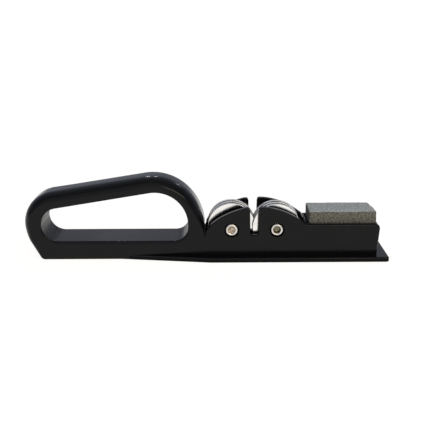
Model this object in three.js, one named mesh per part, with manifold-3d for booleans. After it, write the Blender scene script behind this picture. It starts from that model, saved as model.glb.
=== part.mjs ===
// Handheld knife sharpener: a loop handle and lobed housing in one moulding, two riveted
// stacks of interleaved steel discs in a knife slot, and a whetstone on the nose.
// Millimetres. +X from the handle to the nose, -Y the front side, +Z up, origin at the middle
// of the footprint on the underside.

import * as THREE from "three";
import { mergeVertices } from "three/addons/utils/BufferGeometryUtils.js";
import Module from "manifold-3d";

const wasm = await Module();
wasm.setup();

// Overall
const LENGTH = 210;
const HEIGHT = 47.9;
const FLANGE_WIDTH = 39.6;
const BODY_WIDTH = 26;
const HALF = BODY_WIDTH / 2;
const GAP = 0.1;

// Positions along the tool are counted from the heel of the handle.
const X0 = -LENGTH / 2;

// Loop handle: two end circles joined by a rising top line; the crown widens towards the lobes
const HEEL = { x: X0 + 18.4, z: 20.8, r: 18.4 };
const HEEL_CUT_ANGLE = 213.5;
const HEEL_CUT = { x: X0 + 11.7, z: 3, r: 3 };
const CROWN_R = 29.3;
const CROWN = { x: X0 + 74, z: HEIGHT - CROWN_R, r: CROWN_R };
const CROWN_SIDE_ANGLE = 60;
const CROWN_SIDE_R = 31;
const CROWN_END_ANGLE = -4.4;

// Finger hole
const HOLE_HEEL = { x: X0 + 20.2, z: 20.8, r: 9.8 };
const HOLE_CROWN = { x: X0 + 75.8, z: 20.5, r: 19 };
const HOLE_TOE = { x: X0 + 86.8, z: 19, r: 8 };

// Edge rounding of the moulding
const EDGE_CROWN = 4.8;
const CROWN_DEPTH = 9.4;
const HEEL_DEPTH = 7.6;
const EDGE_HOLE = { inset: 2.8, depth: 1 };
const EDGE_BASE = 1.2;
const EDGE_LOBE = 0.6;
const EDGE_STEPS = 3;

// Lobed walls around the discs
const WALL = 3.2;
const VALLEY = { x: X0 + 104.35, z: 14.3, r: 0.3 };
const SLOT_X = X0 + 132.9;
const SLOT_TOP_HALF = 2.5;
const SLOT_FOOT_HALF = 2.2;
const SLOT_FLOOR_Z = 14.2;
const SLOT_FOOT_R = 0.8;
const LOBE_TOP_Z = 30.7;
const LOBE_CORNER_R = 1.5;
const CAVITY_LEFT = X0 + 104.6;
const CAVITY_RIGHT = X0 + 161.4;
const CAVITY_FLOOR_Z = 2.9;
const CAVITY_CORNER_R = 4;

// Platform and whetstone
const PLATFORM_Z = 20.6;
const NOSE_TOP_X = X0 + 205.3;
const NOSE_FOOT_X = X0 + 203.8;
const NOSE_CORNER_R = 3;
const STONE = { left: X0 + 164.4, right: X0 + 203.5, width: 20.2, top: 27.8 };
const STONE_FIT = 0.3;
const STONE_EDGE = 0.7;
const RECESS_FLOOR_Z = 17.9;
const ADHESIVE = 0.7;

// Flange
const FLANGE_T = 2.8;
const FLANGE_EDGE = 0.7;
const FLANGE_START_X = X0 + 46.6;
const FLANGE_START_HALF = 11;
const FLANGE_FULL_X = X0 + 108;
const FLANGE_CORNER_R = 2;

// Coring of the underside
const CORE_HALF = 9.5;
const HANDLE_CORE = { left: X0 + 25, right: X0 + 85, bays: 3, depth: 7.4 };
const NOSE_CORE = { left: X0 + 165.5, right: X0 + 200.5, bays: 2, depth: 15.2 };
const RIB = 2;

// Axles and stacks
const AXLE_Z = 17.35;
const AXLES = { left: X0 + 119.9, right: X0 + 145.95 };
const SHANK_R = 2.5;
const DISC_R = 14;
const DISC_T = 1.8;
const DISC_BORE_R = SHANK_R + 0.08;
const DISC_CHAMFER = 0.3;
const DISC_PITCH = 2.2;
const DISCS_PER_AXLE = 3;
const STACK_SHIFT = -1.6;
const SPACER_R = 5.5;
const SPACER_BORE_R = 2.65;
const AXLE_HOLE_R = 2.7;
const RECESS_R = 4.2;
const RECESS_DEPTH = 1.8;
const ROLL_R = 3.45;
const WASHER_R = 3.4;
const WASHER_T = 0.5;
const HEAD_R = 4.1;
const HEAD_H = 1.5;
const COUNTERBORE_R = 4.5;
const COUNTERBORE_DEPTH = 0.8;
const DISC_SIDES = 40;
const PIN_SIDES = 24;

const MATERIALS = {
  plastic: { color: 0x121214, roughness: 0.16, metalness: 0 },
  steel: { color: 0xc4c6c8, roughness: 0.2, metalness: 1 },
  rivet: { color: 0xcfc8bc, roughness: 0.35, metalness: 1 },
  spacer: { color: 0x9a9c9e, roughness: 0.4, metalness: 1 },
  stone: { color: 0x7b8384, roughness: 0.9, metalness: 0 },
  adhesive: { color: 0x4a4a44, roughness: 0.6, metalness: 0 },
};

const rad = THREE.MathUtils.degToRad;
const smooth = THREE.MathUtils.smoothstep;

// ---------------------------------------------------------------- solids

function toSolid(geometry) {
  const bare = geometry.clone();
  bare.deleteAttribute("normal");
  bare.deleteAttribute("uv");
  const merged = mergeVertices(bare, 1e-3);
  return new wasm.Manifold(new wasm.Mesh({
    numProp: 3,
    vertProperties: new Float32Array(merged.attributes.position.array),
    triVerts: new Uint32Array(merged.index.array),
  }));
}

function toGeometry(solid) {
  const mesh = solid.getMesh();
  const geometry = new THREE.BufferGeometry();
  geometry.setAttribute("position", new THREE.BufferAttribute(mesh.vertProperties, 3));
  geometry.setIndex(new THREE.BufferAttribute(mesh.triVerts, 1));
  geometry.computeVertexNormals();
  return geometry;
}

function boxSolid(xLow, xHigh, yHalf, zLow, zHigh) {
  const box = new THREE.BoxGeometry(xHigh - xLow, 2 * yHalf, zHigh - zLow);
  box.translate((xLow + xHigh) / 2, 0, (zLow + zHigh) / 2);
  return toSolid(box);
}

// A round bar along Y at an axle.
function barSolid(x, radius, yLow, yHigh) {
  const bar = new THREE.CylinderGeometry(radius, radius, yHigh - yLow, PIN_SIDES);
  bar.translate(x, (yLow + yHigh) / 2, AXLE_Z);
  return toSolid(bar);
}

// An outline drawn in X and Z, extruded along Y about the middle.
function sideExtrusion(shape, halfWidth, curveSegments) {
  const geometry = new THREE.ExtrudeGeometry(shape, {
    depth: 2 * halfWidth,
    bevelEnabled: false,
    curveSegments,
  });
  geometry.rotateX(Math.PI / 2);
  geometry.translate(0, halfWidth, 0);
  return geometry;
}

// ---------------------------------------------------------------- outlines

function arcPoints(centre, fromDeg, toDeg, steps) {
  const points = [];
  for (let i = 0; i <= steps; i += 1) {
    const angle = rad(fromDeg + ((toDeg - fromDeg) * i) / steps);
    points.push(new THREE.Vector2(
      centre.x + centre.r * Math.cos(angle),
      centre.z + centre.r * Math.sin(angle),
    ));
  }
  return points;
}

// Angle in degrees, on both circles, of the upper tangent line from circle a to circle b.
function tangentAngle(a, b) {
  const dx = b.x - a.x;
  const dz = b.z - a.z;
  const slope = Math.atan2(dz, dx) + Math.asin((b.r - a.r) / Math.hypot(dx, dz));
  return 90 + THREE.MathUtils.radToDeg(slope);
}

function bezierPoints(corners, steps) {
  const [a, b, c, d] = corners.map(([x, z]) => new THREE.Vector2(X0 + x, z));
  return new THREE.CubicBezierCurve(a, b, c, d).getPoints(steps);
}

// The slot between the lobes, from its left lip down, across and up to its right lip.
function slotPoints() {
  const left = SLOT_X - SLOT_TOP_HALF;
  const right = SLOT_X + SLOT_TOP_HALF;
  const cornerZ = LOBE_TOP_Z - LOBE_CORNER_R;
  const footZ = SLOT_FLOOR_Z + SLOT_FOOT_R;
  const footLeft = SLOT_X - SLOT_FOOT_HALF + SLOT_FOOT_R;
  const footRight = SLOT_X + SLOT_FOOT_HALF - SLOT_FOOT_R;
  return [
    ...arcPoints({ x: left - LOBE_CORNER_R, z: cornerZ - 0.3, r: LOBE_CORNER_R }, 80, 0, 4),
    ...arcPoints({ x: footLeft, z: footZ, r: SLOT_FOOT_R }, 180, 270, 3),
    ...arcPoints({ x: footRight, z: footZ, r: SLOT_FOOT_R }, 270, 360, 3),
    ...arcPoints({ x: right + LOBE_CORNER_R, z: cornerZ, r: LOBE_CORNER_R }, 180, 92, 4),
  ];
}

// The flatter circle that carries the crown on down to the valley.
function crownSide() {
  const shift = CROWN_SIDE_R - CROWN_R;
  return {
    x: CROWN.x - shift * Math.cos(rad(CROWN_SIDE_ANGLE)),
    z: CROWN.z - shift * Math.sin(rad(CROWN_SIDE_ANGLE)),
    r: CROWN_SIDE_R,
  };
}

// The whole side view, clockwise from the heel's underside.
function bodyOutline() {
  const top = tangentAngle(HEEL, CROWN);
  const noseCorner = {
    x: NOSE_TOP_X - NOSE_CORNER_R,
    z: PLATFORM_Z - NOSE_CORNER_R,
    r: NOSE_CORNER_R,
  };
  return [
    ...arcPoints(HEEL_CUT, 270, HEEL_CUT_ANGLE, 4),
    ...arcPoints(HEEL, HEEL_CUT_ANGLE, top, 14),
    ...arcPoints(CROWN, top, CROWN_SIDE_ANGLE, 7),
    ...arcPoints(crownSide(), CROWN_SIDE_ANGLE, CROWN_END_ANGLE, 9),
    ...arcPoints(VALLEY, 170, 330, 4),
    ...bezierPoints([[105.2, 17.1], [109.6, 24.1], [119, 27.9], [127.4, 30.25]], 10),
    ...slotPoints(),
    ...bezierPoints([[139, 30.65], [148, 29.9], [156, 26.1], [162.6, PLATFORM_Z]], 10),
    ...arcPoints(noseCorner, 90, 4, 4),
    new THREE.Vector2(NOSE_FOOT_X, 0),
  ];
}

// The finger hole, clockwise.
function holeOutline() {
  const top = tangentAngle(HOLE_HEEL, HOLE_CROWN);
  return [
    ...arcPoints(HOLE_HEEL, 270, top, 12),
    ...arcPoints(HOLE_CROWN, top, 0, 10),
    ...arcPoints(HOLE_TOE, 0, -90, 7),
  ];
}

// How far the front and rear edges are rounded at a point of the side view: in the side view
// itself, and along Y, where the handle's rounding is deeper.
function outerEdge(point) {
  const x = point.x - X0;
  if (x > 162) {
    return { inset: EDGE_BASE, depth: EDGE_BASE };
  }
  if (x > 104.2) {
    const r = point.y > 1 ? EDGE_LOBE : EDGE_BASE;
    return { inset: r, depth: r };
  }
  const onCrown = x > 60;
  const share = onCrown ? smooth(point.y, 6, 34) : smooth(point.y, 3, 18);
  const low = onCrown && point.y > 1 ? EDGE_LOBE : EDGE_BASE;
  const inset = THREE.MathUtils.lerp(low, EDGE_CROWN, share);
  const deepest = THREE.MathUtils.lerp(HEEL_DEPTH, CROWN_DEPTH, smooth(x, 0, 30));
  const reach = onCrown ? smooth(point.y, 14, 28) : share;
  return { inset, depth: THREE.MathUtils.lerp(low, deepest, reach) };
}

// The same round the finger hole.
function holeEdge() {
  return EDGE_HOLE;
}

// ---------------------------------------------------------------- moulding

// Inward offset direction at each corner of a clockwise outline, mitred.
function mitres(points) {
  const sides = points.map((point, i) => {
    const next = points[(i + 1) % points.length];
    const side = next.clone().sub(point).normalize();
    return new THREE.Vector2(side.y, -side.x);
  });
  return sides.map((after, i) => {
    const before = sides[(i + sides.length - 1) % sides.length];
    return before.clone().add(after).divideScalar(1 + before.dot(after));
  });
}

// Rings of one outline from the rear face to the front face, with rounded edges.
function roundedRings(points, directions, edgeAt, halfWidth) {
  const rings = [];
  const addRing = (sign, step) => {
    const turn = (Math.PI / 2) * (step / EDGE_STEPS);
    rings.push(points.map((point, i) => {
      const { inset, depth } = edgeAt(point);
      const flat = point.clone().addScaledVector(directions[i], inset * (1 - Math.cos(turn)));
      const y = sign * (halfWidth - depth * (1 - Math.sin(turn)));
      return new THREE.Vector3(flat.x, y, flat.y);
    }));
  };
  for (let step = EDGE_STEPS; step >= 0; step -= 1) {
    addRing(1, step);
  }
  for (let step = 0; step <= EDGE_STEPS; step += 1) {
    addRing(-1, step);
  }
  return rings;
}

function removeRepeats(points) {
  return points.filter((point, i) => {
    const previous = points[(i + points.length - 1) % points.length];
    return point.distanceTo(previous) > 0.02;
  });
}

// A slab drawn in X and Z with one hole, its front and rear edges rounded.
function roundedSlab(outline, hole, halfWidth) {
  const outer = removeRepeats(outline);
  const inner = removeRepeats(hole);
  const loops = [
    { rings: roundedRings(outer, mitres(outer), outerEdge, halfWidth), flip: true },
    { rings: roundedRings(inner, mitres(inner).map((m) => m.negate()), holeEdge, halfWidth),
      flip: false },
  ];
  const positions = [];
  const triangles = [];
  const starts = loops.map(({ rings }) => {
    const start = positions.length / 3;
    rings.forEach((ring) => ring.forEach((p) => positions.push(p.x, p.y, p.z)));
    return start;
  });
  const addTriangle = (a, b, c, flip) => triangles.push(...(flip ? [a, c, b] : [a, b, c]));
  loops.forEach(({ rings, flip }, k) => {
    const count = rings[0].length;
    for (let ring = 0; ring + 1 < rings.length; ring += 1) {
      for (let i = 0; i < count; i += 1) {
        const next = (i + 1) % count;
        const a = starts[k] + ring * count;
        const b = a + count;
        addTriangle(a + i, a + next, b + next, flip);
        addTriangle(a + i, b + next, b + i, flip);
      }
    }
  });
  [0, 2 * EDGE_STEPS + 1].forEach((ring) => {
    const flats = loops.map(({ rings }) => rings[ring].map((p) => new THREE.Vector2(p.x, p.z)));
    const numbers = loops.flatMap(({ rings }, k) =>
      rings[ring].map((_, i) => starts[k] + ring * rings[ring].length + i));
    const faces = THREE.ShapeUtils.triangulateShape(flats[0], [flats[1]]);
    faces.forEach((face) => {
      const [a, b, c] = face.map((i) => numbers[i]);
      const all = flats.flat();
      const [p, q, s] = face.map((i) => all[i]);
      const turnsLeft = q.clone().sub(p).cross(s.clone().sub(p)) > 0;
      addTriangle(a, b, c, turnsLeft === (ring === 0));
    });
  });
  const geometry = new THREE.BufferGeometry();
  geometry.setAttribute("position", new THREE.Float32BufferAttribute(positions, 3));
  geometry.setIndex(triangles);
  return geometry;
}

// The flared foot under the handle's root and the housing.
function flangeSolid() {
  const half = FLANGE_WIDTH / 2;
  const right = LENGTH / 2;
  const cornerX = right - FLANGE_CORNER_R;
  const cornerY = half - FLANGE_CORNER_R;
  const shape = new THREE.Shape();
  shape.moveTo(FLANGE_START_X, -FLANGE_START_HALF);
  shape.lineTo(FLANGE_FULL_X, -half);
  shape.lineTo(cornerX, -half);
  shape.absarc(cornerX, -cornerY, FLANGE_CORNER_R, -Math.PI / 2, 0, false);
  shape.absarc(cornerX, cornerY, FLANGE_CORNER_R, 0, Math.PI / 2, false);
  shape.lineTo(FLANGE_FULL_X, half);
  shape.lineTo(FLANGE_START_X, FLANGE_START_HALF);
  const geometry = new THREE.ExtrudeGeometry(shape, {
    depth: FLANGE_T - 2 * FLANGE_EDGE,
    bevelThickness: FLANGE_EDGE,
    bevelSize: FLANGE_EDGE,
    bevelOffset: -FLANGE_EDGE,
    bevelSegments: 2,
    curveSegments: 4,
  });
  geometry.translate(0, 0, FLANGE_EDGE);
  return toSolid(geometry);
}

// The open space for the discs, between the front and rear walls.
function cavitySolid() {
  const r = CAVITY_CORNER_R;
  const shape = new THREE.Shape();
  shape.moveTo(CAVITY_LEFT, HEIGHT);
  shape.lineTo(CAVITY_LEFT, CAVITY_FLOOR_Z + r);
  shape.absarc(CAVITY_LEFT + r, CAVITY_FLOOR_Z + r, r, Math.PI, 1.5 * Math.PI, false);
  shape.absarc(CAVITY_RIGHT - r, CAVITY_FLOOR_Z + r, r, 1.5 * Math.PI, 2 * Math.PI, false);
  shape.lineTo(CAVITY_RIGHT, HEIGHT);
  return toSolid(sideExtrusion(shape, HALF - WALL, 6));
}

// Bays cored out of the underside, with ribs left between them.
function coreSolids({ left, right, bays, depth }) {
  const bay = (right - left - (bays - 1) * RIB) / bays;
  return Array.from({ length: bays }, (_, i) => {
    const start = left + i * (bay + RIB);
    return boxSolid(start, start + bay, CORE_HALF, -1, depth);
  });
}

function body() {
  const slab = roundedSlab(bodyOutline(), holeOutline(), HALF);
  const cuts = [
    cavitySolid(),
    boxSolid(STONE.left - STONE_FIT, STONE.right + STONE_FIT, STONE.width / 2 + STONE_FIT,
      RECESS_FLOOR_Z, HEIGHT),
    ...coreSolids(HANDLE_CORE),
    ...coreSolids(NOSE_CORE),
  ];
  Object.values(AXLES).forEach((x) => {
    cuts.push(barSolid(x, AXLE_HOLE_R, -HALF - 1, HALF + 1));
    cuts.push(barSolid(x, RECESS_R, -HALF - 1, -HALF + RECESS_DEPTH));
    cuts.push(barSolid(x, COUNTERBORE_R, HALF - COUNTERBORE_DEPTH, HALF + 1));
  });
  const moulding = toSolid(slab).add(flangeSolid());
  return toGeometry(cuts.reduce((solid, cut) => solid.subtract(cut), moulding));
}

// ---------------------------------------------------------------- stacks

// A piece turned about Y, from a profile of [radius, along Y] pairs.
function turned(profile, sides) {
  const points = profile.map(([r, y]) => new THREE.Vector2(r, y));
  return new THREE.LatheGeometry(points, sides);
}

function ring(bore, radius, thickness) {
  const y = thickness / 2;
  return turned([[bore, -y], [radius, -y], [radius, y], [bore, y], [bore, -y]], PIN_SIDES);
}

function disc() {
  const y = DISC_T / 2;
  const c = DISC_CHAMFER;
  return turned([
    [DISC_BORE_R, -y],
    [DISC_R - c, -y],
    [DISC_R, c - y],
    [DISC_R, y - c],
    [DISC_R - c, y],
    [DISC_BORE_R, y],
    [DISC_BORE_R, -y],
  ], DISC_SIDES);
}

// A tubular rivet: rolled end at the front, low domed head at the rear.
function rivet(holeDepth) {
  const seat = -HALF + RECESS_DEPTH - 2 * GAP - WASHER_T;
  const front = -HALF + GAP;
  const headSeat = HALF - COUNTERBORE_DEPTH + GAP / 2;
  return turned([
    [0, front + holeDepth],
    [1.8, front + holeDepth - 0.3],
    [2.1, front + 0.7],
    [2.5, front + 0.15],
    [2.9, front],
    [3.3, front + 0.2],
    [ROLL_R, front + 0.6],
    [ROLL_R - 0.2, seat],
    [SHANK_R, seat],
    [SHANK_R, headSeat],
    [HEAD_R, headSeat],
    [HEAD_R, headSeat + 0.5],
    [HEAD_R - 0.9, headSeat + 1.1],
    [HEAD_R - 2.2, headSeat + HEAD_H - 0.1],
    [0, headSeat + HEAD_H],
  ], PIN_SIDES);
}

function whetstone() {
  const width = STONE.width - 2 * STONE_EDGE;
  const shape = new THREE.Shape();
  shape.moveTo(STONE.left + STONE_EDGE, -width / 2);
  shape.lineTo(STONE.right - STONE_EDGE, -width / 2);
  shape.lineTo(STONE.right - STONE_EDGE, width / 2);
  shape.lineTo(STONE.left + STONE_EDGE, width / 2);
  const bottom = RECESS_FLOOR_Z + ADHESIVE + 2 * GAP;
  const geometry = new THREE.ExtrudeGeometry(shape, {
    depth: STONE.top - bottom - 2 * STONE_EDGE,
    bevelThickness: STONE_EDGE,
    bevelSize: STONE_EDGE,
    bevelSegments: 2,
  });
  geometry.translate(0, 0, bottom + STONE_EDGE);
  return geometry;
}

function stoneAdhesive() {
  const length = STONE.right - STONE.left - 2 * STONE_EDGE;
  const layer = new THREE.BoxGeometry(length, STONE.width - 2 * STONE_EDGE, ADHESIVE);
  layer.translate((STONE.left + STONE.right) / 2, 0, RECESS_FLOOR_Z + GAP + ADHESIVE / 2);
  return layer;
}

// ---------------------------------------------------------------- assembly

const group = new THREE.Group();

function addPart(parent, name, geometry, material) {
  const mesh = new THREE.Mesh(geometry, new THREE.MeshStandardMaterial(MATERIALS[material]));
  mesh.name = name;
  parent.add(mesh);
  return mesh;
}

// One rivet with its discs, spacers, end pieces and burr washer, in a group on its axle.
function addStack(side, firstDisc, rivetHoleDepth) {
  const firstDiscY = firstDisc * DISC_PITCH + STACK_SHIFT;
  const axle = new THREE.Group();
  axle.position.set(AXLES[side], 0, AXLE_Z);
  group.add(axle);
  const pitch = 2 * DISC_PITCH;
  ["front", "middle", "rear"].forEach((place, i) => {
    addPart(axle, `${side}_disc_${place}`, disc(), "steel").position.y = firstDiscY + i * pitch;
  });
  ["front", "rear"].forEach((place, i) => {
    const spacer = ring(SPACER_BORE_R, SPACER_R, pitch - DISC_T - 2 * GAP);
    const y = firstDiscY + (i + 0.5) * pitch;
    addPart(axle, `${side}_spacer_${place}`, spacer, "spacer").position.y = y;
  });
  const stackFront = firstDiscY - DISC_T / 2;
  const stackRear = firstDiscY + (DISCS_PER_AXLE - 1) * pitch + DISC_T / 2;
  const wallFace = HALF - WALL;
  [["front", -wallFace, stackFront], ["rear", stackRear, wallFace]].forEach(([end, low, high]) => {
    const bush = ring(SPACER_BORE_R, SPACER_R, high - low - 2 * GAP);
    addPart(axle, `${side}_${end}_bush`, bush, "spacer").position.y = (low + high) / 2;
  });
  const washer = ring(SPACER_BORE_R, WASHER_R, WASHER_T);
  const washerY = -HALF + RECESS_DEPTH - GAP - WASHER_T / 2;
  addPart(axle, `${side}_rivet_washer`, washer, "rivet").position.y = washerY;
  addPart(axle, `${side}_rivet`, rivet(rivetHoleDepth), "rivet");
}

addPart(group, "body", body(), "plastic");
addPart(group, "whetstone", whetstone(), "stone");
addPart(group, "stone_adhesive", stoneAdhesive(), "adhesive");
addStack("left", -1.5, 1.2);
addStack("right", -2.5, 4);

export default group;
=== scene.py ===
"""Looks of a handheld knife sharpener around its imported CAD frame: glossy black moulding,
two riveted stacks of polished steel discs, and a gritty whetstone on the nose."""

import math

import bmesh
import bpy
from mathutils import Matrix, Vector, noise
from mathutils.geometry import tessellate_polygon

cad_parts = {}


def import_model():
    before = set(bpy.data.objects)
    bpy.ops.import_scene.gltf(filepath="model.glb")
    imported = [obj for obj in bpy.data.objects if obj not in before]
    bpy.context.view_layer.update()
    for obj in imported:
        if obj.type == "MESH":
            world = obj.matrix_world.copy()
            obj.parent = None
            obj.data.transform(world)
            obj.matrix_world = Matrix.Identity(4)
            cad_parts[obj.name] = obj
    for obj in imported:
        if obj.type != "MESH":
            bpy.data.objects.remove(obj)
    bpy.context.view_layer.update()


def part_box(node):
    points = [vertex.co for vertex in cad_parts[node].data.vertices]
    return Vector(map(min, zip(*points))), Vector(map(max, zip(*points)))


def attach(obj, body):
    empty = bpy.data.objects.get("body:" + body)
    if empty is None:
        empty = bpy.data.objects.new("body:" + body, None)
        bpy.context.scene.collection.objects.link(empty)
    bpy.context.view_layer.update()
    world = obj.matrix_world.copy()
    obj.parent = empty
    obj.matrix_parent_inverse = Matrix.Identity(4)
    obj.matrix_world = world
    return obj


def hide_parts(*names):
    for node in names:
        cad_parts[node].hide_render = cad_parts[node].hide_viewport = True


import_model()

MM = 0.001


# ---------------------------------------------------------------- sizes, in millimetres

def box_mm(node):
    low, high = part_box(node)
    return low / MM, high / MM


BODY_LOW, BODY_HIGH = box_mm("body")
LENGTH = BODY_HIGH.x - BODY_LOW.x
HEIGHT = BODY_HIGH.z
FLANGE_HALF = BODY_HIGH.y
HALF = 13
X0 = BODY_LOW.x

# Loop handle and finger hole: centre x, centre z, radius
HEEL = (X0 + 18.4, 20.8, 18.4)
HEEL_CUT = (X0 + 11.7, 3, 3)
HEEL_CUT_ANGLE = 213.5
CROWN_R = 29.3
CROWN = (X0 + 74, HEIGHT - CROWN_R, CROWN_R)
CROWN_SIDE_ANGLE = 60
CROWN_SIDE_R = 31
CROWN_END_ANGLE = -4.4
HOLE_HEEL = (X0 + 20.2, 20.8, 9.8)
HOLE_CROWN = (X0 + 75.8, 20.5, 19)
HOLE_TOE = (X0 + 86.8, 19, 8)

# Where the crown, the lobed walls and the platform start, counted from the heel
CROWN_START = 60
LOBES_START = 104.2
PLATFORM_START = 162

# Edge rounding of the moulding
EDGE_CROWN = 4.8
CROWN_DEPTH = 9.4
HEEL_DEPTH = 7.6
EDGE_HOLE = (2.8, 1)
EDGE_BASE = 1.2
EDGE_LOBE = 0.6
EDGE_STEPS = 8

# Lobed walls and the knife slot
WALL = 3.2
VALLEY = (X0 + 104.35, 14.3, 0.3)
SLOT_X = X0 + 132.9
SLOT_TOP_HALF = 2.5
SLOT_FOOT_HALF = 2.2
SLOT_FLOOR_Z = 14.2
SLOT_FOOT_R = 0.8
LOBE_TOP_Z = 30.7
LOBE_CORNER_R = 1.5
LEFT_LOBE_DROP = 0.3
CAVITY_LEFT = X0 + 104.6
CAVITY_RIGHT = X0 + 161.4
CAVITY_FLOOR_Z = 2.9
CAVITY_CORNER_R = 4

# Platform and the stone's recess
PLATFORM_Z = 20.6
NOSE_TOP_X = X0 + 205.3
NOSE_FOOT_X = X0 + 203.8
NOSE_CORNER_R = 3
STONE_LOW, STONE_HIGH = box_mm("whetstone")
STONE_FIT = 0.3
RECESS_FLOOR_Z = 17.9
RECESS_MOUTH = 0.55

# Flange
FLANGE_T = 2.8
FLANGE_START_X = X0 + 46.6
FLANGE_START_HALF = 11
FLANGE_FULL_X = X0 + 108
FLANGE_CORNER_R = 2
FLANGE_TOP_R = 0.8
FLANGE_FOOT_R = 0.4

# Coring of the underside: left, right, number of bays, depth
CORE_HALF = 9.5
CORES = [(X0 + 25, X0 + 85, 3, 7.4), (X0 + 165.5, X0 + 200.5, 2, 15.2)]
RIB = 2

# Rivets and their holes
HOLE_R = 2.7
RECESS_R = 4.2
RECESS_DEPTH = 1.8
COUNTERBORE_R = 4.5
COUNTERBORE_DEPTH = 0.8
SHANK_R = 2.5
ROLL_R = 3.45
ROLL_T = 0.7
HEAD_R = 4.1
CUP_R = 2.12
CUP_DEPTH = {"left": 1.2, "right": 4}
WASHER_T = 0.5

# Rings and discs on the rivets
RING_BORE_R = 2.65
SPACER_CHAMFER = 0.2
WASHER_CHAMFER = 0.12
DISC_BORE_R = 2.58
DISC_RIM_R = 0.35
DISC_HUB_R = 6.2
DISC_STEP = 0.06

SIDES = ("left", "right")
AXLES = {side: (box_mm(f"{side}_rivet")[0] + box_mm(f"{side}_rivet")[1]) / 2 for side in SIDES}


# ---------------------------------------------------------------- outlines

def arc(circle, start, end, step=2.5):
    """Points (x, z) on a circle from one angle to another, in degrees."""
    x, z, r = circle
    count = max(2, round(abs(end - start) / step))
    angles = [math.radians(start + (end - start) * i / count) for i in range(count + 1)]
    return [Vector((x + r * math.cos(a), z + r * math.sin(a))) for a in angles]


def bezier(a, b, c, d):
    """Points on a cubic curve, its corners counted along the tool from the heel."""
    count = 26
    points = []
    for i in range(count + 1):
        t = i / count
        u = 1 - t
        weights = (u ** 3, 3 * u * u * t, 3 * u * t * t, t ** 3)
        x = X0 + sum(w * p[0] for w, p in zip(weights, (a, b, c, d)))
        z = sum(w * p[1] for w, p in zip(weights, (a, b, c, d)))
        points.append(Vector((x, z)))
    return points


def line(a, b, count):
    """Points between a and b, without the two ends."""
    return [a.lerp(b, i / count) for i in range(1, count)]


def tangent_angle(a, b):
    """Angle on both circles of the upper tangent line from circle a to circle b."""
    dx, dz = b[0] - a[0], b[1] - a[1]
    slope = math.atan2(dz, dx) + math.asin((b[2] - a[2]) / math.hypot(dx, dz))
    return 90 + math.degrees(slope)


def slot_points():
    """The knife slot between the two lobes, with their rounded lips."""
    left, right = SLOT_X - SLOT_TOP_HALF, SLOT_X + SLOT_TOP_HALF
    lip_z = LOBE_TOP_Z - LOBE_CORNER_R
    foot_z = SLOT_FLOOR_Z + SLOT_FOOT_R
    foot_left = SLOT_X - SLOT_FOOT_HALF + SLOT_FOOT_R
    foot_right = SLOT_X + SLOT_FOOT_HALF - SLOT_FOOT_R
    return [
        *arc((left - LOBE_CORNER_R, lip_z - LEFT_LOBE_DROP, LOBE_CORNER_R), 80, 0, 9),
        *arc((foot_left, foot_z, SLOT_FOOT_R), 180, 270, 11),
        *arc((foot_right, foot_z, SLOT_FOOT_R), 270, 360, 11),
        *arc((right + LOBE_CORNER_R, lip_z, LOBE_CORNER_R), 180, 92, 9),
    ]


def crown_side():
    """The flatter circle that carries the crown on down to the valley."""
    shift = CROWN_SIDE_R - CROWN_R
    turn = math.radians(CROWN_SIDE_ANGLE)
    return CROWN[0] - shift * math.cos(turn), CROWN[1] - shift * math.sin(turn), CROWN_SIDE_R


def body_outline():
    """The whole side view, clockwise from the heel's underside."""
    top = tangent_angle(HEEL, CROWN)
    heel = arc(HEEL, HEEL_CUT_ANGLE, top)
    crown = arc(CROWN, top, CROWN_SIDE_ANGLE)
    side = arc(crown_side(), CROWN_SIDE_ANGLE, CROWN_END_ANGLE)
    corner = (NOSE_TOP_X - NOSE_CORNER_R, PLATFORM_Z - NOSE_CORNER_R, NOSE_CORNER_R)
    platform_end = (162.6, PLATFORM_Z)
    return [
        *arc(HEEL_CUT, 270, HEEL_CUT_ANGLE, 8),
        *heel,
        *line(heel[-1], crown[0], 16),
        *crown,
        *side,
        *arc(VALLEY, 170, 330, 20),
        *bezier((105.2, 17.1), (109.6, 24.1), (119, 27.9), (127.4, 30.25)),
        *slot_points(),
        *bezier((139, 30.65), (148, 29.9), (156, 26.1), platform_end),
        *arc(corner, 90, 4, 9),
        Vector((NOSE_FOOT_X, 0)),
    ]


def hole_outline():
    """The finger hole in the side view."""
    top = tangent_angle(HOLE_HEEL, HOLE_CROWN)
    heel = arc(HOLE_HEEL, 270, top, 4)
    crown = arc(HOLE_CROWN, top, 0, 4)
    return [*heel, *line(heel[-1], crown[0], 16), *crown, *arc(HOLE_TOE, 0, -90, 6)]


def smoothstep(value, low, high):
    t = min(1, max(0, (value - low) / (high - low)))
    return t * t * (3 - 2 * t)


def outer_edge(point):
    """Rounding of the front and rear edges: in the side view, and along Y."""
    x, z = point.x - X0, point.y
    above_foot = z > 1
    if x > PLATFORM_START:
        return EDGE_BASE, EDGE_BASE
    if x > LOBES_START:
        r = EDGE_LOBE if above_foot else EDGE_BASE
        return r, r
    on_crown = x > CROWN_START
    share = smoothstep(z, 6, 34) if on_crown else smoothstep(z, 3, 18)
    low = EDGE_LOBE if on_crown and above_foot else EDGE_BASE
    deepest = HEEL_DEPTH + (CROWN_DEPTH - HEEL_DEPTH) * smoothstep(x, 0, 30)
    reach = smoothstep(z, 14, 28) if on_crown else share
    return low + (EDGE_CROWN - low) * share, low + (deepest - low) * reach


def hole_edge(_point):
    """The same rounding all round the finger hole."""
    return EDGE_HOLE


# ---------------------------------------------------------------- meshes

def new_object(name, points, faces):
    """A mesh object from points in millimetres."""
    mesh = bpy.data.meshes.new(name)
    mesh.from_pydata([Vector(p) * MM for p in points], [], faces)
    mesh.update()
    obj = bpy.data.objects.new(name, mesh)
    bpy.context.scene.collection.objects.link(obj)
    return obj


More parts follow.
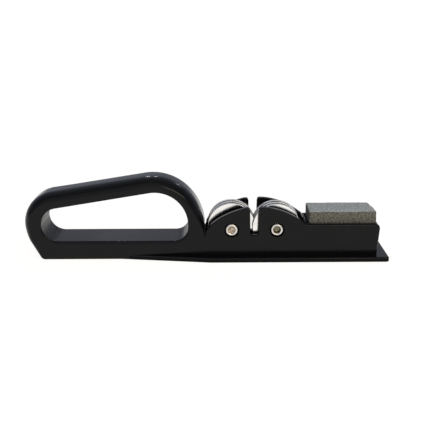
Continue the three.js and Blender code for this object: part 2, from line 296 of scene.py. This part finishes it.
def outward(obj):
    """Makes all the faces of a closed mesh point out."""
    mesh = bmesh.new()
    mesh.from_mesh(obj.data)
    bmesh.ops.recalc_face_normals(mesh, faces=mesh.faces)
    mesh.to_mesh(obj.data)
    mesh.free()
    return obj


def without_repeats(points):
    return [p for i, p in enumerate(points) if (p - points[i - 1]).length > 0.02]


def mitres(points):
    """Inward directions at the corners of a clockwise outline."""
    sides = []
    for i, point in enumerate(points):
        side = (points[(i + 1) % len(points)] - point).normalized()
        sides.append(Vector((side.y, -side.x)))
    return [(sides[i - 1] + s) / (1 + sides[i - 1].dot(s)) for i, s in enumerate(sides)]


def edge_rings(points, directions, edge_at, half):
    """Rings of one outline from the rear face to the front face."""
    rings = []
    steps = [(1, s) for s in range(EDGE_STEPS, -1, -1)] + [(-1, s) for s in range(EDGE_STEPS + 1)]
    for sign, step in steps:
        turn = math.pi / 2 * step / EDGE_STEPS
        ring = []
        for point, direction in zip(points, directions):
            inset, depth = edge_at(point)
            flat = point + direction * inset * (1 - math.cos(turn))
            ring.append(Vector((flat.x, sign * (half - depth * (1 - math.sin(turn))), flat.y)))
        rings.append(ring)
    return rings


def join_rings(rings, start):
    """Quads between rings of equal length, numbered from start."""
    count = len(rings[0])
    faces = []
    for r in range(len(rings) - 1):
        for i in range(count):
            a, b = start + r * count + i, start + r * count + (i + 1) % count
            faces.append((a, b, b + count, a + count))
    return faces


def rounded_slab(name, outline, hole, half):
    """A slab drawn in X and Z with one hole, its front and rear edges rounded."""
    outer, inner = without_repeats(outline), without_repeats(hole)
    outer_rings = edge_rings(outer, mitres(outer), outer_edge, half)
    inner_rings = edge_rings(inner, [-m for m in mitres(inner)], hole_edge, half)
    points = [p for ring in outer_rings + inner_rings for p in ring]
    inner_start = len(outer) * len(outer_rings)
    faces = join_rings(outer_rings, 0) + join_rings(inner_rings, inner_start)
    for ring in (0, len(outer_rings) - 1):
        loops = [[Vector((p.x, p.z, 0)) for p in rings[ring]]
                 for rings in (outer_rings, inner_rings)]
        numbers = [ring * len(outer) + i for i in range(len(outer))]
        numbers += [inner_start + ring * len(inner) + i for i in range(len(inner))]
        faces += [tuple(numbers[i] for i in face) for face in tessellate_polygon(loops)]
    return outward(new_object(name, points, faces))


def prism(name, outlines):
    """A closed solid through outlines of equal length, each a list of points."""
    count = len(outlines[0])
    points = [p for outline in outlines for p in outline]
    last = (len(outlines) - 1) * count
    caps = [tuple(range(count)), tuple(range(last, last + count))]
    return outward(new_object(name, points, join_rings(outlines, 0) + caps))


def boxed(name, levels):
    """A solid through rectangles (z, x low, x high, y half)."""
    return prism(name, [
        [(x0, -y, z), (x1, -y, z), (x1, y, z), (x0, y, z)] for z, x0, x1, y in levels
    ])


def turned(name, profile, sides, place):
    """A piece turned about Y from (radius, y) pairs; radius 0 closes it on the axis."""
    points, rings = [], []
    for r, y in profile:
        if r == 0:
            rings.append([len(points)] * sides)
            points.append((0, y, 0))
        else:
            rings.append(list(range(len(points), len(points) + sides)))
            for i in range(sides):
                a = 2 * math.pi * i / sides
                points.append((r * math.cos(a), y, r * math.sin(a)))
    closed = profile[0][0] > 0 and profile[-1][0] > 0
    pairs = list(zip(rings, rings[1:])) + ([(rings[-1], rings[0])] if closed else [])
    faces = []
    for low, high in pairs:
        for i in range(sides):
            j = (i + 1) % sides
            face = [low[i], low[j], high[j], high[i]]
            face = [n for k, n in enumerate(face) if n not in face[:k]]
            faces.append(tuple(face))
    obj = outward(new_object(name, points, faces))
    obj.location = Vector(place) * MM
    return obj


def apply_modifiers(obj):
    bpy.context.view_layer.update()
    evaluated = obj.evaluated_get(bpy.context.evaluated_depsgraph_get())
    result = bpy.data.meshes.new_from_object(evaluated)
    obj.modifiers.clear()
    obj.data = result


def boolean(target, tool, operation):
    """Cuts or joins tool into target, and removes tool."""
    modifier = target.modifiers.new("cut", "BOOLEAN")
    modifier.operation = operation
    modifier.object = tool
    modifier.solver = "EXACT"
    apply_modifiers(target)
    bpy.data.objects.remove(tool)


def smooth(obj, angle=32):
    """Smooth shading that keeps edges sharper than the angle, weighted to the larger faces."""
    obj.data.shade_smooth()
    obj.data.set_sharp_from_angle(angle=math.radians(angle))
    modifier = obj.modifiers.new("weighted_normals", "WEIGHTED_NORMAL")
    modifier.keep_sharp = True
    return obj


def dress(obj, materials, choose):
    """Gives each face the material that choose() picks from its middle, in millimetres."""
    obj.data.materials.clear()
    for material in materials:
        obj.data.materials.append(material)
    for face in obj.data.polygons:
        face.material_index = choose(face.center / MM)


# ---------------------------------------------------------------- moulding

def flange():
    """The flared foot, its edges rounded all round."""
    right = X0 + LENGTH
    corner = FLANGE_CORNER_R
    cx, cy = right - corner, FLANGE_HALF - corner
    outline = [
        Vector((FLANGE_START_X, -FLANGE_START_HALF)),
        Vector((FLANGE_FULL_X, -FLANGE_HALF)),
        *arc((cx, -cy, corner), 270, 360, 11),
        *arc((cx, cy, corner), 0, 90, 11),
        Vector((FLANGE_FULL_X, FLANGE_HALF)),
        Vector((FLANGE_START_X, FLANGE_START_HALF)),
    ]
    outline.reverse()
    inward = mitres(outline)
    levels = [(FLANGE_FOOT_R * (1 - math.cos(math.pi / 2 * i / 4)),
               FLANGE_FOOT_R * (1 - math.sin(math.pi / 2 * i / 4))) for i in range(5)]
    levels += [(FLANGE_T - FLANGE_TOP_R * (1 - math.sin(math.pi / 2 * i / 6)),
                FLANGE_TOP_R * (1 - math.cos(math.pi / 2 * i / 6))) for i in range(7)]
    return prism("flange", [
        [(*(p + m * inset), z) for p, m in zip(outline, inward)] for z, inset in levels
    ])


def cavity():
    """The room for the discs between the lobed walls."""
    r = CAVITY_CORNER_R
    left = (CAVITY_LEFT + r, CAVITY_FLOOR_Z + r, r)
    right = (CAVITY_RIGHT - r, CAVITY_FLOOR_Z + r, r)
    outline = [Vector((CAVITY_LEFT, HEIGHT)), *arc(left, 180, 270, 7), *arc(right, 270, 360, 7),
               Vector((CAVITY_RIGHT, HEIGHT))]
    half = HALF - WALL
    return prism("cavity", [[(p.x, y, p.y) for p in outline] for y in (-half, half)])


def stone_recess():
    """The stone's recess in the platform, its mouth broken all round."""
    x0, x1 = STONE_LOW.x - STONE_FIT, STONE_HIGH.x + STONE_FIT
    y = STONE_HIGH.y + STONE_FIT
    flare = 2 * RECESS_MOUTH
    return boxed("recess", [
        (RECESS_FLOOR_Z, x0, x1, y),
        (PLATFORM_Z - RECESS_MOUTH, x0, x1, y),
        (PLATFORM_Z + RECESS_MOUTH, x0 - flare, x1 + flare, y + flare),
    ])


def core_bays():
    """The hollows of the underside, with broken mouths and corners."""
    bays = []
    for left, right, count, depth in CORES:
        width = (right - left - (count - 1) * RIB) / count
        for i in range(count):
            x0 = left + i * (width + RIB)
            x1 = x0 + width
            bays.append(boxed("bay", [
                (-1, x0 - 0.6, x1 + 0.6, CORE_HALF + 0.6),
                (0.3, x0, x1, CORE_HALF),
                (depth - 0.5, x0 + 0.1, x1 - 0.1, CORE_HALF - 0.1),
                (depth, x0 + 0.6, x1 - 0.6, CORE_HALF - 0.6),
            ]))
    return bays


def rivet_bore(side):
    """Front recess, through hole and rear counterbore of one rivet, with softened mouths."""
    out = HALF + 1
    floor = -HALF + RECESS_DEPTH
    rear = HALF - COUNTERBORE_DEPTH
    mouth = 0.3
    profile = [
        (0, -out), (RECESS_R + mouth + 1, -out), (RECESS_R + mouth, -HALF),
        (RECESS_R + 0.08, -HALF + 0.15), (RECESS_R, -HALF + mouth), (RECESS_R, floor),
        (HOLE_R, floor), (HOLE_R, rear), (COUNTERBORE_R, rear), (COUNTERBORE_R, HALF - mouth),
        (COUNTERBORE_R + mouth, HALF), (COUNTERBORE_R + mouth + 1, out), (0, out),
    ]
    place = (AXLES[side].x, 0, AXLES[side].z)
    return turned(f"bore_{side}", profile, 64, place)


def soften_cut_edges(obj):
    """Rounds the sharp edges where the cavity meets the lobes."""
    inner = (HALF - WALL) * MM
    mesh = bmesh.new()
    mesh.from_mesh(obj.data)
    bmesh.ops.dissolve_degenerate(mesh, dist=1e-6, edges=mesh.edges)

    def on_rim(edge):
        if len(edge.link_faces) != 2 or edge.calc_face_angle(0) < math.radians(35):
            return False
        on_wall = all(abs(abs(v.co.y) - inner) < 1e-6 and v.co.z > 15 * MM for v in edge.verts)
        return on_wall and edge.calc_face_angle_signed(0) > 0

    rim = [e for e in mesh.edges if on_rim(e)]
    bmesh.ops.bevel(mesh, geom=rim, offset=0.35 * MM, segments=3, profile=0.5,
                    affect="EDGES", clamp_overlap=True)
    mesh.to_mesh(obj.data)
    mesh.free()


def matt_zone(p):
    """Whether the moulding is left unpolished at a point: bores, cavity, slot, flange's rim."""
    in_bore = any(math.hypot(p.x - a.x, p.z - a.z) < RECESS_R + 0.02 for a in AXLES.values())
    in_cavity = abs(p.y) < HALF - WALL + 0.01 and CAVITY_LEFT - 0.05 < p.x < CAVITY_RIGHT + 0.05
    in_slot = abs(p.x - SLOT_X) < SLOT_TOP_HALF + 0.1 and 5 < p.z < LOBE_TOP_Z - LOBE_CORNER_R
    on_flange_rim = abs(p.y) > FLANGE_HALF * 0.5 and p.z < FLANGE_T - FLANGE_TOP_R
    on_face = abs(abs(p.y) - HALF) < 0.05
    return (in_bore or in_cavity or in_slot or on_flange_rim) and not on_face


def moulding(polished, matt, drawn):
    """The housing with its handle, in the three finishes the mould leaves."""
    body = rounded_slab("housing_moulding", body_outline(), hole_outline(), HALF)
    boolean(body, flange(), "UNION")
    boolean(body, cavity(), "DIFFERENCE")
    boolean(body, stone_recess(), "DIFFERENCE")
    for bay in core_bays():
        boolean(body, bay, "DIFFERENCE")
    for side in SIDES:
        boolean(body, rivet_bore(side), "DIFFERENCE")
    soften_cut_edges(body)
    hole = hole_outline()
    hole_low, hole_high = min(h.x for h in hole) - 1.4, max(h.x for h in hole) + 1.2
    near_wall = 2.5

    def choose(p):
        if abs(p.y) < HALF - EDGE_HOLE[1] and hole_low < p.x < hole_high:
            if min((h - Vector((p.x, p.z))).length for h in hole) < near_wall:
                return 2
        return int(matt_zone(p))

    dress(body, [polished, matt, drawn], choose)
    return smooth(body)


# ---------------------------------------------------------------- turned pieces

def chamfered_ring(name, node, chamfer, place):
    """A ring of the node's size with chamfered rims."""
    low, high = box_mm(node)
    radius = (high.z - low.z) / 2
    y0, y1 = low.y, high.y
    bore = RING_BORE_R
    c = chamfer
    profile = [
        (bore + c, y0), (radius - c, y0), (radius - 0.3 * c, y0 + 0.3 * c), (radius, y0 + c),
        (radius, y1 - c), (radius - 0.3 * c, y1 - 0.3 * c), (radius - c, y1), (bore + c, y1),
        (bore, y1 - c), (bore, y0 + c),
    ]
    return smooth(turned(name, profile, 96, place), 40)


def steel_disc(node, place, materials):
    """A sharpening disc: flat ground faces, a shallow turned step at the hub, rounded rim."""
    low, high = box_mm(node)
    radius = (high.z - low.z) / 2
    y0, y1 = low.y, high.y
    bore, rim, hub, step = DISC_BORE_R, DISC_RIM_R, DISC_HUB_R, DISC_STEP
    profile = [(bore + 0.15, y0 + step), (hub, y0 + step), (hub + 0.15, y0)]
    profile += [(radius - rim + rim * math.sin(a), y0 + rim - rim * math.cos(a))
                for a in (math.radians(15 * i) for i in range(7))]
    profile += [(radius - rim + rim * math.cos(a), y1 - rim + rim * math.sin(a))
                for a in (math.radians(15 * i) for i in range(7))]
    profile += [(hub + 0.15, y1), (hub, y1 - step), (bore + 0.15, y1 - step),
                (bore, y1 - step - 0.15), (bore, y0 + step + 0.15)]
    disc = smooth(turned(f"{node}_ground", profile, 192, place), 30)
    dress(disc, materials, lambda p: int(math.hypot(p.x, p.z) > radius - rim))
    return disc


def rivet(side, place, plated, cup):
    """A semi-tubular rivet: rolled collar at the front, domed head at the rear."""
    low, high = box_mm(f"{side}_rivet")
    front, rear = low.y, high.y
    seat = -HALF + RECESS_DEPTH - 0.2 - WASHER_T
    head_seat = HALF - COUNTERBORE_DEPTH + 0.05
    bottom = front + CUP_DEPTH[side]
    roll = [(ROLL_R - ROLL_T + ROLL_T * math.cos(a), front + ROLL_T - ROLL_T * math.sin(a))
            for a in (math.radians(180 - 15 * i) for i in range(13))]
    profile = [(0, bottom), (0.9, bottom - 0.05), (1.7, bottom - 0.3), (1.95, bottom - 0.55)]
    if side == "right":
        profile += [(2.0, bottom - 1.5), (2.02, front + 1.3)]
    profile += roll
    profile += [
        (ROLL_R - 0.15, seat), (SHANK_R, seat), (SHANK_R, head_seat), (HEAD_R - 0.15, head_seat),
        (HEAD_R, head_seat + 0.15), (HEAD_R, head_seat + 0.4),
    ]
    dome = rear - head_seat - 0.4
    profile += [(HEAD_R * math.cos(a), head_seat + 0.4 + dome * math.sin(a))
                for a in (math.radians(10 * i) for i in range(1, 9))]
    profile += [(0, rear)]
    obj = turned(f"{side}_rivet_rolled", profile, 96, place)
    roughen_rivet(obj, side, front)
    dress(obj, [plated, cup], lambda p: int(p.y < 0 and math.hypot(p.x, p.z) < CUP_R))
    return smooth(obj, 40)


def roughen_rivet(obj, side, front):
    """Hand-struck unevenness of the rolled end; the left cup is split into petals."""
    for vertex in obj.data.vertices:
        p = vertex.co / MM
        if p.y > front + 2.2:
            continue
        r = math.hypot(p.x, p.z)
        angle = math.atan2(p.z, p.x)
        bump = noise.noise(Vector((p.x * 0.9, p.z * 0.9, 3 if side == "left" else 8)))
        push = 0.07 * bump * min(1, r / 2)
        if side == "left" and r < 2.2:
            petals = abs(math.sin(2.5 * angle + 0.4))
            push += 0.28 * (0.5 - petals) * min(1, r) + 0.1 * bump
        vertex.co.y += max(push, front - p.y) * MM


# ---------------------------------------------------------------- whetstone

def whetstone():
    """A bonded grit block: worn edges and corners, grains standing in the surface."""
    low, high = STONE_LOW, STONE_HIGH
    margin = 0.12
    half = (high - low) / 2 - Vector((margin,) * 3)
    centre = (low + high) / 2
    radius = 0.9
    mesh = bmesh.new()
    bmesh.ops.create_cube(mesh, size=2)
    for vertex in mesh.verts:
        vertex.co = Vector(v * h for v, h in zip(vertex.co, half)) * MM
    bmesh.ops.bevel(mesh, geom=mesh.edges[:], offset=radius * MM, segments=5, profile=0.5,
                    affect="EDGES")
    data = bpy.data.meshes.new("sharpening_stone")
    mesh.to_mesh(data)
    mesh.free()
    obj = bpy.data.objects.new("sharpening_stone", data)
    bpy.context.scene.collection.objects.link(obj)
    remesh = obj.modifiers.new("remesh", "REMESH")
    remesh.mode = "VOXEL"
    remesh.voxel_size = 0.3 * MM
    apply_modifiers(obj)
    normals = [v.normal.copy() for v in obj.data.vertices]
    for vertex, normal in zip(obj.data.vertices, normals):
        p = vertex.co / MM
        grain = noise.noise(p * 1.7) * 0.05 + noise.noise(p * 3.4 + Vector((9, 4, 2))) * 0.05
        inside = [h - abs(c) for c, h in zip(p, half)]
        edge = sorted(inside)[1]
        wear = max(0, noise.noise(p * 0.35) + 0.25) * 0.5 * max(0, 1 - edge / 1.2)
        vertex.co += normal * (grain - wear - 0.04) * MM
        back = (p.y / half.y + 1) / 2
        vertex.co.x -= 1.9 * back ** 2 * max(0, p.x / half.x) ** 4 * MM
    obj.location = centre * MM
    obj.data.shade_smooth()
    return obj


def stone_bond():
    """The bonding layer, squeezed out unevenly at its rim."""
    low, high = box_mm("stone_adhesive")
    middle = (low + high) / 2
    outline = []
    per_side = 40
    corners = [(low.x, low.y), (high.x, low.y), (high.x, high.y), (low.x, high.y)]
    for k, (x, y) in enumerate(corners):
        nx, ny = corners[(k + 1) % 4]
        for i in range(per_side):
            t = i / per_side
            px, py = x + (nx - x) * t, y + (ny - y) * t
            pull = 0.12 + 0.1 * noise.noise(Vector((px * 0.5, py * 0.5, 1)))
            outline.append(Vector((
                middle.x + (px - middle.x) * (1 - pull / 18),
                middle.y + (py - middle.y) * (1 - pull / 9),
            )))
    levels = [(low.z, 0.995), (low.z + 0.15, 1), (high.z - 0.15, 1), (high.z, 0.99)]
    return smooth(prism("stone_bond", [
        [(middle.x + (p.x - middle.x) * s, middle.y + (p.y - middle.y) * s, z) for p in outline]
        for z, s in levels
    ]), 50)


# ---------------------------------------------------------------- materials

class Nodes:
    """Short hand for building the node tree of one material, or of the world."""

    def __init__(self, name, kind="materials", shader="BSDF_PRINCIPLED", place="Object"):
        self.owner = getattr(bpy.data, kind).new(name)
        self.owner.use_nodes = True
        self.tree = self.owner.node_tree
        self.shader = next(n for n in self.tree.nodes if n.type == shader)
        self.place = self.tree.nodes.new("ShaderNodeTexCoord").outputs[place]

    def add(self, kind, values=None, **settings):
        node = self.tree.nodes.new(kind)
        for key, value in settings.items():
            setattr(node, key, value)
        for key, value in (values or {}).items():
            node.inputs[key].default_value = value
        return node

    def link(self, output, socket):
        self.tree.links.new(output, socket)

    def noise(self, scale, detail=4, roughness=0.55, stretch=None):
        """Noise in object space; scale is in features per metre."""
        node = self.add("ShaderNodeTexNoise",
                        {"Scale": scale, "Detail": detail, "Roughness": roughness})
        if stretch:
            mapping = self.add("ShaderNodeMapping", {"Scale": stretch})
            self.link(self.place, mapping.inputs["Vector"])
            self.link(mapping.outputs["Vector"], node.inputs["Vector"])
        else:
            self.link(self.place, node.inputs["Vector"])
        return node.outputs["Fac"]

    def ramp(self, fac, stops):
        node = self.add("ShaderNodeValToRGB")
        elements = node.color_ramp.elements
        while len(elements) < len(stops):
            elements.new(0.5)
        for element, (position, colour) in zip(elements, stops):
            element.position = position
            element.color = (*colour, 1)
        self.link(fac, node.inputs["Fac"])
        return node.outputs["Color"]

    def remap(self, fac, low, high, out_low, out_high):
        node = self.add("ShaderNodeMapRange", {"From Min": low, "From Max": high,
                                               "To Min": out_low, "To Max": out_high})
        self.link(fac, node.inputs["Value"])
        return node.outputs["Result"]

    def bump(self, height, distance, strength, before=None):
        node = self.add("ShaderNodeBump", {"Distance": distance, "Strength": strength})
        self.link(height, node.inputs["Height"])
        if before is not None:
            self.link(before, node.inputs["Normal"])
        return node.outputs["Normal"]

    def set(self, **values):
        """Sets the shader's sockets to constants."""
        for key, value in values.items():
            self.shader.inputs[key.replace("_", " ")].default_value = value

    def drive(self, output, socket):
        """Links an output to one of the shader's sockets."""
        self.link(output, self.shader.inputs[socket])


def glossy_plastic():
    """The polished outside: long shallow waves, fine specks and faint smudges."""
    m = Nodes("gloss_black_moulding")
    m.set(IOR=1.27)
    colour = m.ramp(m.noise(60, 5), [(0.3, (0.0016, 0.0015, 0.0016)),
                                     (0.75, (0.0034, 0.0031, 0.0032))])
    m.drive(colour, "Base Color")
    smudges = m.noise(45, 6, 0.62)
    m.drive(m.remap(smudges, 0.35, 0.75, 0.15, 0.26), "Roughness")
    waves = m.bump(m.noise(28, 1), 0.00012, 0.5)
    specks = m.bump(m.noise(2600, 2), 0.000004, 0.35, waves)
    m.drive(specks, "Normal")
    return m.owner


def matt_plastic():
    """The moulding's unpolished surfaces inside the housing and round the flange."""
    m = Nodes("matt_black_moulding")
    m.set(Specular_IOR_Level=0.08)
    m.drive(m.ramp(m.noise(200, 4), [(0.3, (0.0018, 0.0018, 0.002)), (0.7, (0.003, 0.003, 0.003))]),
            "Base Color")
    m.drive(m.remap(m.noise(900, 4), 0.3, 0.7, 0.35, 0.5), "Roughness")
    m.drive(m.bump(m.noise(2600, 2), 0.00001, 0.4), "Normal")
    return m.owner


def drawn_plastic():
    """The finger hole's wall, with faint drag marks from leaving the mould."""
    m = Nodes("drawn_black_moulding")
    m.set(IOR=1.22)
    m.drive(m.ramp(m.noise(80, 4), [(0.3, (0.003, 0.003, 0.0032)), (0.7, (0.0055, 0.0055, 0.006))]),
            "Base Color")
    marks = m.noise(1, 4, 0.6, stretch=(500, 25, 500))
    m.drive(m.remap(marks, 0.35, 0.7, 0.2, 0.45), "Roughness")
    m.drive(m.bump(marks, 0.00003, 0.6), "Normal")
    return m.owner


def rivet_cup(name, tint):
    """The inside of a rolled rivet end: brown, uneven, in its own shade."""
    m = Nodes(name)
    m.set(Metallic=1.0)
    stops = [(0.36, (0.16, 0.1, 0.06)), (0.48, (0.48, 0.38, 0.28)), (0.62, (0.72, 0.66, 0.56))]
    stops = [(position, tuple(c * t for c, t in zip(colour, tint))) for position, colour in stops]
    m.drive(m.ramp(m.noise(1300, 5, 0.65), stops), "Base Color")
    m.drive(m.remap(m.noise(1500, 4), 0.3, 0.7, 0.35, 0.55), "Roughness")
    m.drive(m.bump(m.noise(1500, 4), 0.00012, 0.7), "Normal")
    return m.owner


def ground_steel(name, smoothest, roughest):
    """Ground steel with the fine rings that turning leaves round the axle."""
    m = Nodes(name)
    m.set(Metallic=1.0)
    rings = m.add("ShaderNodeTexWave", {"Scale": 900, "Distortion": 0.6, "Detail": 3,
                                        "Detail Scale": 2}, wave_type="RINGS",
                  rings_direction="Y")
    m.link(m.place, rings.inputs["Vector"])
    tint = m.ramp(m.noise(300, 4), [(0.3, (0.78, 0.765, 0.735)), (0.7, (0.9, 0.885, 0.86))])
    m.drive(tint, "Base Color")
    m.drive(m.remap(m.noise(500, 5), 0.3, 0.7, smoothest, roughest), "Roughness")
    m.drive(m.bump(rings.outputs["Fac"], 0.00001, 0.25), "Normal")
    return m.owner


def turned_steel():
    """Dull steel of the spacers and bushes, with turning marks along Y."""
    m = Nodes("turned_spacer_steel")
    m.set(Metallic=1.0)
    rings = m.add("ShaderNodeTexWave", {"Scale": 1400, "Distortion": 1.0, "Detail": 2},
                  wave_type="BANDS", bands_direction="Y")
    m.link(m.place, rings.inputs["Vector"])
    colour = m.ramp(m.noise(400), [(0.3, (0.42, 0.42, 0.42)), (0.7, (0.55, 0.55, 0.54))])
    m.drive(colour, "Base Color")
    m.drive(m.remap(m.noise(700), 0.3, 0.7, 0.3, 0.45), "Roughness")
    m.drive(m.bump(rings.outputs["Fac"], 0.00002, 0.3), "Normal")
    return m.owner


def plated_rivet():
    """Satin plating, browner and rougher where the metal was struck."""
    m = Nodes("plated_rivet")
    m.set(Metallic=1.0)
    colour = m.ramp(m.noise(900, 5, 0.6), [(0.32, (0.5, 0.43, 0.36)), (0.5, (0.8, 0.76, 0.7)),
                                           (0.7, (0.88, 0.86, 0.82))])
    m.drive(colour, "Base Color")
    m.drive(m.remap(m.noise(1500, 4), 0.3, 0.7, 0.28, 0.5), "Roughness")
    m.drive(m.bump(m.noise(1800, 4), 0.00005, 0.5), "Normal")
    return m.owner


def grit_stone():
    """Bonded grit with grains of mixed tone. Painted top light and painted shade: faces turned
    upward get a paler grey, the flanks a darker olive.
    """
    m = Nodes("grit_stone")
    m.set(Specular_IOR_Level=0.25)
    grains = m.noise(1100, 6, 0.7)
    patches = m.noise(140, 3)
    # Painted top light: the paler colour given to the faces that turn upward.
    top = m.ramp(grains, [(0.36, (0.27, 0.285, 0.27)), (0.5, (0.46, 0.485, 0.46)),
                          (0.64, (0.75, 0.78, 0.74))])
    # Painted shade: the darker olive colour given to the stone's flanks.
    painted_shade_flank = m.ramp(grains, [(0.36, (0.045, 0.043, 0.03)), (0.5, (0.115, 0.112, 0.088)),
                            (0.64, (0.26, 0.255, 0.215))])
    # The painted top-lit colour takes over from the painted shaded colour as a face turns upward.
    normal = m.add("ShaderNodeTexCoord").outputs["Normal"]
    split = m.add("ShaderNodeSeparateXYZ")
    m.link(normal, split.inputs["Vector"])
    painted_top_light_share = m.remap(split.outputs["Z"], 0.35, 0.8, 0, 1)
    mix = m.add("ShaderNodeMix", data_type="RGBA")
    m.link(painted_top_light_share, mix.inputs["Factor"])
    m.link(painted_shade_flank, mix.inputs["A"])
    m.link(top, mix.inputs["B"])
    shade = m.add("ShaderNodeMix", data_type="RGBA", blend_type="MULTIPLY")
    shade.inputs["Factor"].default_value = 0.35
    m.link(mix.outputs["Result"], shade.inputs["A"])
    m.link(m.ramp(patches, [(0.35, (0.75, 0.75, 0.75)), (0.65, (1, 1, 1))]), shade.inputs["B"])
    m.drive(shade.outputs["Result"], "Base Color")
    m.drive(m.remap(grains, 0.3, 0.7, 0.8, 0.95), "Roughness")
    m.drive(m.bump(grains, 0.00025, 0.8), "Normal")
    return m.owner


def cured_bond():
    """Brown cured adhesive."""
    m = Nodes("cured_bond")
    colour = m.ramp(m.noise(500), [(0.3, (0.06, 0.055, 0.045)), (0.7, (0.1, 0.095, 0.08))])
    m.drive(colour, "Base Color")
    m.drive(m.remap(m.noise(800), 0.3, 0.7, 0.45, 0.7), "Roughness")
    m.drive(m.bump(m.noise(900), 0.00005, 0.5), "Normal")
    return m.owner


# ---------------------------------------------------------------- assembly

def fit(obj, node, body, material=None):
    """Puts a piece in its CAD node's place; without a material it keeps its own."""
    if material is not None:
        obj.data.materials.clear()
        obj.data.materials.append(material)
    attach(obj, body)
    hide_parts(node)


def assemble():
    steel = (ground_steel("ground_steel", 0.07, 0.15), ground_steel("ground_rim", 0.3, 0.42))
    spacer, plated = turned_steel(), plated_rivet()
    plastics = (glossy_plastic(), matt_plastic(), drawn_plastic())
    fit(moulding(*plastics), "body", "housing")
    cups = {"left": rivet_cup("struck_cup", (1, 1, 1)),
            "right": rivet_cup("open_cup", (0.62, 0.68, 0.6))}
    fit(whetstone(), "whetstone", "housing", grit_stone())
    fit(stone_bond(), "stone_adhesive", "housing", cured_bond())
    for side in SIDES:
        place = (AXLES[side].x, 0, AXLES[side].z)
        for where in ("front", "middle", "rear"):
            node = f"{side}_disc_{where}"
            fit(steel_disc(node, place, steel), node, node)
        for node in (f"{side}_spacer_front", f"{side}_spacer_rear", f"{side}_front_bush",
                     f"{side}_rear_bush"):
            piece = chamfered_ring(f"{node}_turned", node, SPACER_CHAMFER, place)
            fit(piece, node, "housing", spacer)
        node = f"{side}_rivet_washer"
        piece = chamfered_ring(f"{node}_stamped", node, WASHER_CHAMFER, place)
        fit(piece, node, "housing", plated)
        fit(rivet(side, place, plated, cups[side]), f"{side}_rivet", "housing")


# ---------------------------------------------------------------- studio

CAMERA_PLACE = (5.33, -437.9, 148.4)
CAMERA_PITCH = 16
CAMERA_ROLL = -0.3
CAMERA_LENS = 64.8167
SENSOR_WIDTH = 36


def camera():
    """The view from the front, looking down on the tool."""
    data = bpy.data.cameras.new("camera")
    data.sensor_width = SENSOR_WIDTH
    data.lens = CAMERA_LENS
    data.clip_start = 0.01
    data.clip_end = 100
    obj = bpy.data.objects.new("camera", data)
    obj.location = Vector(CAMERA_PLACE) * MM
    pitch = Matrix.Rotation(math.radians(90 - CAMERA_PITCH), 4, "X")
    roll = Matrix.Rotation(math.radians(CAMERA_ROLL), 4, "Z")
    obj.matrix_world = Matrix.Translation(obj.location) @ pitch @ roll
    bpy.context.scene.collection.objects.link(obj)
    bpy.context.scene.camera = obj


def floor():
    """A bright white floor just under the tool."""
    half = 30
    mesh = bpy.data.meshes.new("floor")
    mesh.from_pydata([(-half, -half, 0), (half, -half, 0), (half, half, 0), (-half, half, 0)],
                     [], [(0, 1, 2, 3)])
    obj = bpy.data.objects.new("floor", mesh)
    obj.location.z = -0.0002
    bpy.context.scene.collection.objects.link(obj)
    m = Nodes("white_floor")
    m.set(Base_Color=(0.2, 0.2, 0.2, 1), Roughness=0.9,
          Emission_Color=(1, 0.985, 0.96, 1), Emission_Strength=0.93)
    obj.data.materials.append(m.owner)


def lamp(name, direction, distance, size, power, colour):
    """A rectangular lamp seen from the object in the given direction."""
    data = bpy.data.lights.new(name, "AREA")
    data.shape = "RECTANGLE"
    data.size, data.size_y = size
    data.energy = power
    data.color = colour
    obj = bpy.data.objects.new(name, data)
    towards = Vector(direction).normalized()
    obj.location = towards * distance
    obj.rotation_euler = towards.to_track_quat("Z", "Y").to_euler()
    bpy.context.scene.collection.objects.link(obj)


def world():
    """Dim, slightly cool surroundings, with a lighter wall in front of the tool."""
    m = Nodes("studio", "worlds", "BACKGROUND", "Generated")
    split = m.add("ShaderNodeSeparateXYZ")
    m.link(m.place, split.inputs["Vector"])
    around = m.ramp(split.outputs["Z"], [
        (0.0, (0.42, 0.44, 0.5)), (0.26, (0.36, 0.38, 0.45)), (0.5, (0.24, 0.27, 0.34)),
        (0.8, (0.26, 0.29, 0.36)), (1.0, (0.3, 0.31, 0.33)),
    ])
    facing = m.add("ShaderNodeVectorMath", {1: (0, -0.8, 0.6)}, operation="DOT_PRODUCT")
    m.link(m.place, facing.inputs[0])
    wall = m.remap(facing.outputs["Value"], 0.6, 0.95, 0, 0.45)
    both = m.add("ShaderNodeVectorMath")
    m.link(around, both.inputs[0])
    m.link(wall, both.inputs[1])
    m.drive(both.outputs["Vector"], "Color")
    bpy.context.scene.world = m.owner


def studio():
    """Camera, floor, surroundings, three small windows behind and a warm card in front."""
    camera()
    floor()
    world()
    lamp("window_left", (-0.16, 0.85, 0.5), 1, (0.04, 0.04), 0.14, (1, 1, 1))
    lamp("window_middle", (-0.04, 0.85, 0.5), 1, (0.03, 0.03), 0.06, (1, 1, 1))
    lamp("window_right", (0.36, 0.75, 0.5), 1, (0.04, 0.04), 0.14, (0.9, 0.95, 1))
    lamp("warm_card", (0.42, -0.7, 0.53), 1, (0.7, 0.08), 2, (1, 0.82, 0.6))
    bpy.context.scene.view_settings.view_transform = "Standard"


assemble()
studio()
